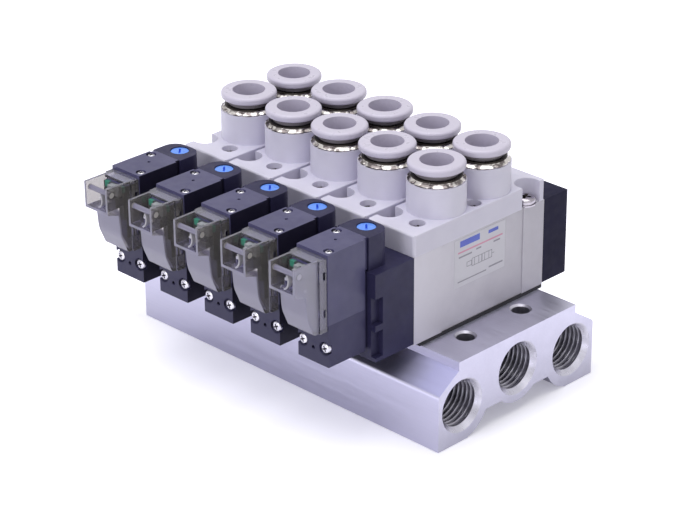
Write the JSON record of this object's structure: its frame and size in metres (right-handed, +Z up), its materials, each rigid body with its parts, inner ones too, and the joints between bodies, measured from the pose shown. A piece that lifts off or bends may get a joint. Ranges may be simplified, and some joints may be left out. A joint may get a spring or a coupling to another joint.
{
  "type": "pneumatic solenoid valve manifold",
  "caption": "Row of single-solenoid spool valves with push-in tube fittings, blue manual overrides and clear plug covers, bolted on one ported metal bar manifold.",
  "frame": {"origin": "centre of the four bolt holes, in the plane that the base bar stands on", "axes": "+X along the bar, -Y from the spools towards the pilot solenoids, +Z up, against the direction in which tubes are pushed in"},
  "size_m": [0.1036, 0.0905, 0.0628],
  "materials": {
    "anodised_bar": "fine satin anodised, faint violet tint",
    "cast_body": "matt light grey coating",
    "white_resin": "satin white moulding",
    "black_resin": "satin near-black moulding",
    "smoke_resin": "smoked clear moulding",
    "plated_brass": "polished nickel plate",
    "plated_steel": "bright zinc plate",
    "blue_resin": "glossy blue moulding",
    "seal_rubber": "matt black",
    "board_green": "green coated board",
    "spool_alloy": "ground",
    "core_iron": "ground"
  },
  "bodies": {
    "bank": {"manifold_base": "anodised_bar", "valve_body_1": "cast_body", "valve_body_2": "cast_body", "valve_body_3": "cast_body", "valve_body_4": "cast_body", "valve_body_5": "cast_body", "port_block_1": "white_resin", "port_block_2": "white_resin", "port_block_3": "white_resin", "port_block_4": "white_resin", "port_block_5": "white_resin", "pilot_coil_1": "black_resin", "pilot_coil_2": "black_resin", "pilot_coil_3": "black_resin", "pilot_coil_4": "black_resin", "pilot_coil_5": "black_resin", "pilot_valve_1": "black_resin", "pilot_valve_2": "black_resin", "pilot_valve_3": "black_resin", "pilot_valve_4": "black_resin", "pilot_valve_5": "black_resin", "light_cover_1": "smoke_resin", "light_cover_2": "smoke_resin", "light_cover_3": "smoke_resin", "light_cover_4": "smoke_resin", "light_cover_5": "smoke_resin", "fitting_sleeves": "plated_brass", "body_gaskets": "seal_rubber", "end_caps": "black_resin", "pilot_adapters": "black_resin", "socket_boards": "board_green", "contact_pins": "plated_steel", "mounting_screws": "plated_steel", "block_screws": "plated_steel", "pilot_screws": "plated_steel"},
    "spool_1": {"spool_1": "spool_alloy"},
    "pilot_core_1": {"pilot_core_1": "core_iron"},
    "override_button_1": {"override_button_1": "blue_resin"},
    "front_collar_1": {"front_collar_1": "white_resin"},
    "rear_collar_1": {"rear_collar_1": "white_resin"},
    "spool_2": {"spool_2": "spool_alloy"},
    "pilot_core_2": {"pilot_core_2": "core_iron"},
    "override_button_2": {"override_button_2": "blue_resin"},
    "front_collar_2": {"front_collar_2": "white_resin"},
    "rear_collar_2": {"rear_collar_2": "white_resin"},
    "spool_3": {"spool_3": "spool_alloy"},
    "pilot_core_3": {"pilot_core_3": "core_iron"},
    "override_button_3": {"override_button_3": "blue_resin"},
    "front_collar_3": {"front_collar_3": "white_resin"},
    "rear_collar_3": {"rear_collar_3": "white_resin"},
    "spool_4": {"spool_4": "spool_alloy"},
    "pilot_core_4": {"pilot_core_4": "core_iron"},
    "override_button_4": {"override_button_4": "blue_resin"},
    "front_collar_4": {"front_collar_4": "white_resin"},
    "rear_collar_4": {"rear_collar_4": "white_resin"},
    "spool_5": {"spool_5": "spool_alloy"},
    "pilot_core_5": {"pilot_core_5": "core_iron"},
    "override_button_5": {"override_button_5": "blue_resin"},
    "front_collar_5": {"front_collar_5": "white_resin"},
    "rear_collar_5": {"rear_collar_5": "white_resin"}
  },
  "joints": [
    {"name": "spool_1_shift", "type": "slide", "parent": "bank", "child": "spool_1", "axis": [0, 1, 0], "range_m": [0, 0.0025], "stiffness_N_per_m": 300, "springref_m": -0.0025},
    {"name": "core_1_lift", "type": "slide", "parent": "bank", "child": "pilot_core_1", "axis": [0, 0, 1], "range_m": [0, 0.0006], "stiffness_N_per_m": 400, "springref_m": -0.0006},
    {"name": "override_1_push", "type": "slide", "parent": "bank", "child": "override_button_1", "axis": [0, 0, -1], "range_m": [0, 0.0012], "stiffness_N_per_m": 400, "springref_m": -0.0012},
    {"name": "front_collar_1_release", "type": "slide", "parent": "bank", "child": "front_collar_1", "axis": [0, 0, -1], "range_m": [0, 0.001], "stiffness_N_per_m": 500, "springref_m": -0.001},
    {"name": "rear_collar_1_release", "type": "slide", "parent": "bank", "child": "rear_collar_1", "axis": [0, 0, -1], "range_m": [0, 0.001], "stiffness_N_per_m": 500, "springref_m": -0.001},
    {"name": "spool_2_shift", "type": "slide", "parent": "bank", "child": "spool_2", "axis": [0, 1, 0], "range_m": [0, 0.0025], "stiffness_N_per_m": 300, "springref_m": -0.0025},
    {"name": "core_2_lift", "type": "slide", "parent": "bank", "child": "pilot_core_2", "axis": [0, 0, 1], "range_m": [0, 0.0006], "stiffness_N_per_m": 400, "springref_m": -0.0006},
    {"name": "override_2_push", "type": "slide", "parent": "bank", "child": "override_button_2", "axis": [0, 0, -1], "range_m": [0, 0.0012], "stiffness_N_per_m": 400, "springref_m": -0.0012},
    {"name": "front_collar_2_release", "type": "slide", "parent": "bank", "child": "front_collar_2", "axis": [0, 0, -1], "range_m": [0, 0.001], "stiffness_N_per_m": 500, "springref_m": -0.001},
    {"name": "rear_collar_2_release", "type": "slide", "parent": "bank", "child": "rear_collar_2", "axis": [0, 0, -1], "range_m": [0, 0.001], "stiffness_N_per_m": 500, "springref_m": -0.001},
    {"name": "spool_3_shift", "type": "slide", "parent": "bank", "child": "spool_3", "axis": [0, 1, 0], "range_m": [0, 0.0025], "stiffness_N_per_m": 300, "springref_m": -0.0025},
    {"name": "core_3_lift", "type": "slide", "parent": "bank", "child": "pilot_core_3", "axis": [0, 0, 1], "range_m": [0, 0.0006], "stiffness_N_per_m": 400, "springref_m": -0.0006},
    {"name": "override_3_push", "type": "slide", "parent": "bank", "child": "override_button_3", "axis": [0, 0, -1], "range_m": [0, 0.0012], "stiffness_N_per_m": 400, "springref_m": -0.0012},
    {"name": "front_collar_3_release", "type": "slide", "parent": "bank", "child": "front_collar_3", "axis": [0, 0, -1], "range_m": [0, 0.001], "stiffness_N_per_m": 500, "springref_m": -0.001},
    {"name": "rear_collar_3_release", "type": "slide", "parent": "bank", "child": "rear_collar_3", "axis": [0, 0, -1], "range_m": [0, 0.001], "stiffness_N_per_m": 500, "springref_m": -0.001},
    {"name": "spool_4_shift", "type": "slide", "parent": "bank", "child": "spool_4", "axis": [0, 1, 0], "range_m": [0, 0.0025], "stiffness_N_per_m": 300, "springref_m": -0.0025},
    {"name": "core_4_lift", "type": "slide", "parent": "bank", "child": "pilot_core_4", "axis": [0, 0, 1], "range_m": [0, 0.0006], "stiffness_N_per_m": 400, "springref_m": -0.0006},
    {"name": "override_4_push", "type": "slide", "parent": "bank", "child": "override_button_4", "axis": [0, 0, -1], "range_m": [0, 0.0012], "stiffness_N_per_m": 400, "springref_m": -0.0012},
    {"name": "front_collar_4_release", "type": "slide", "parent": "bank", "child": "front_collar_4", "axis": [0, 0, -1], "range_m": [0, 0.001], "stiffness_N_per_m": 500, "springref_m": -0.001},
    {"name": "rear_collar_4_release", "type": "slide", "parent": "bank", "child": "rear_collar_4", "axis": [0, 0, -1], "range_m": [0, 0.001], "stiffness_N_per_m": 500, "springref_m": -0.001},
    {"name": "spool_5_shift", "type": "slide", "parent": "bank", "child": "spool_5", "axis": [0, 1, 0], "range_m": [0, 0.0025], "stiffness_N_per_m": 300, "springref_m": -0.0025},
    {"name": "core_5_lift", "type": "slide", "parent": "bank", "child": "pilot_core_5", "axis": [0, 0, 1], "range_m": [0, 0.0006], "stiffness_N_per_m": 400, "springref_m": -0.0006},
    {"name": "override_5_push", "type": "slide", "parent": "bank", "child": "override_button_5", "axis": [0, 0, -1], "range_m": [0, 0.0012], "stiffness_N_per_m": 400, "springref_m": -0.0012},
    {"name": "front_collar_5_release", "type": "slide", "parent": "bank", "child": "front_collar_5", "axis": [0, 0, -1], "range_m": [0, 0.001], "stiffness_N_per_m": 500, "springref_m": -0.001},
    {"name": "rear_collar_5_release", "type": "slide", "parent": "bank", "child": "rear_collar_5", "axis": [0, 0, -1], "range_m": [0, 0.001], "stiffness_N_per_m": 500, "springref_m": -0.001}
  ]
}
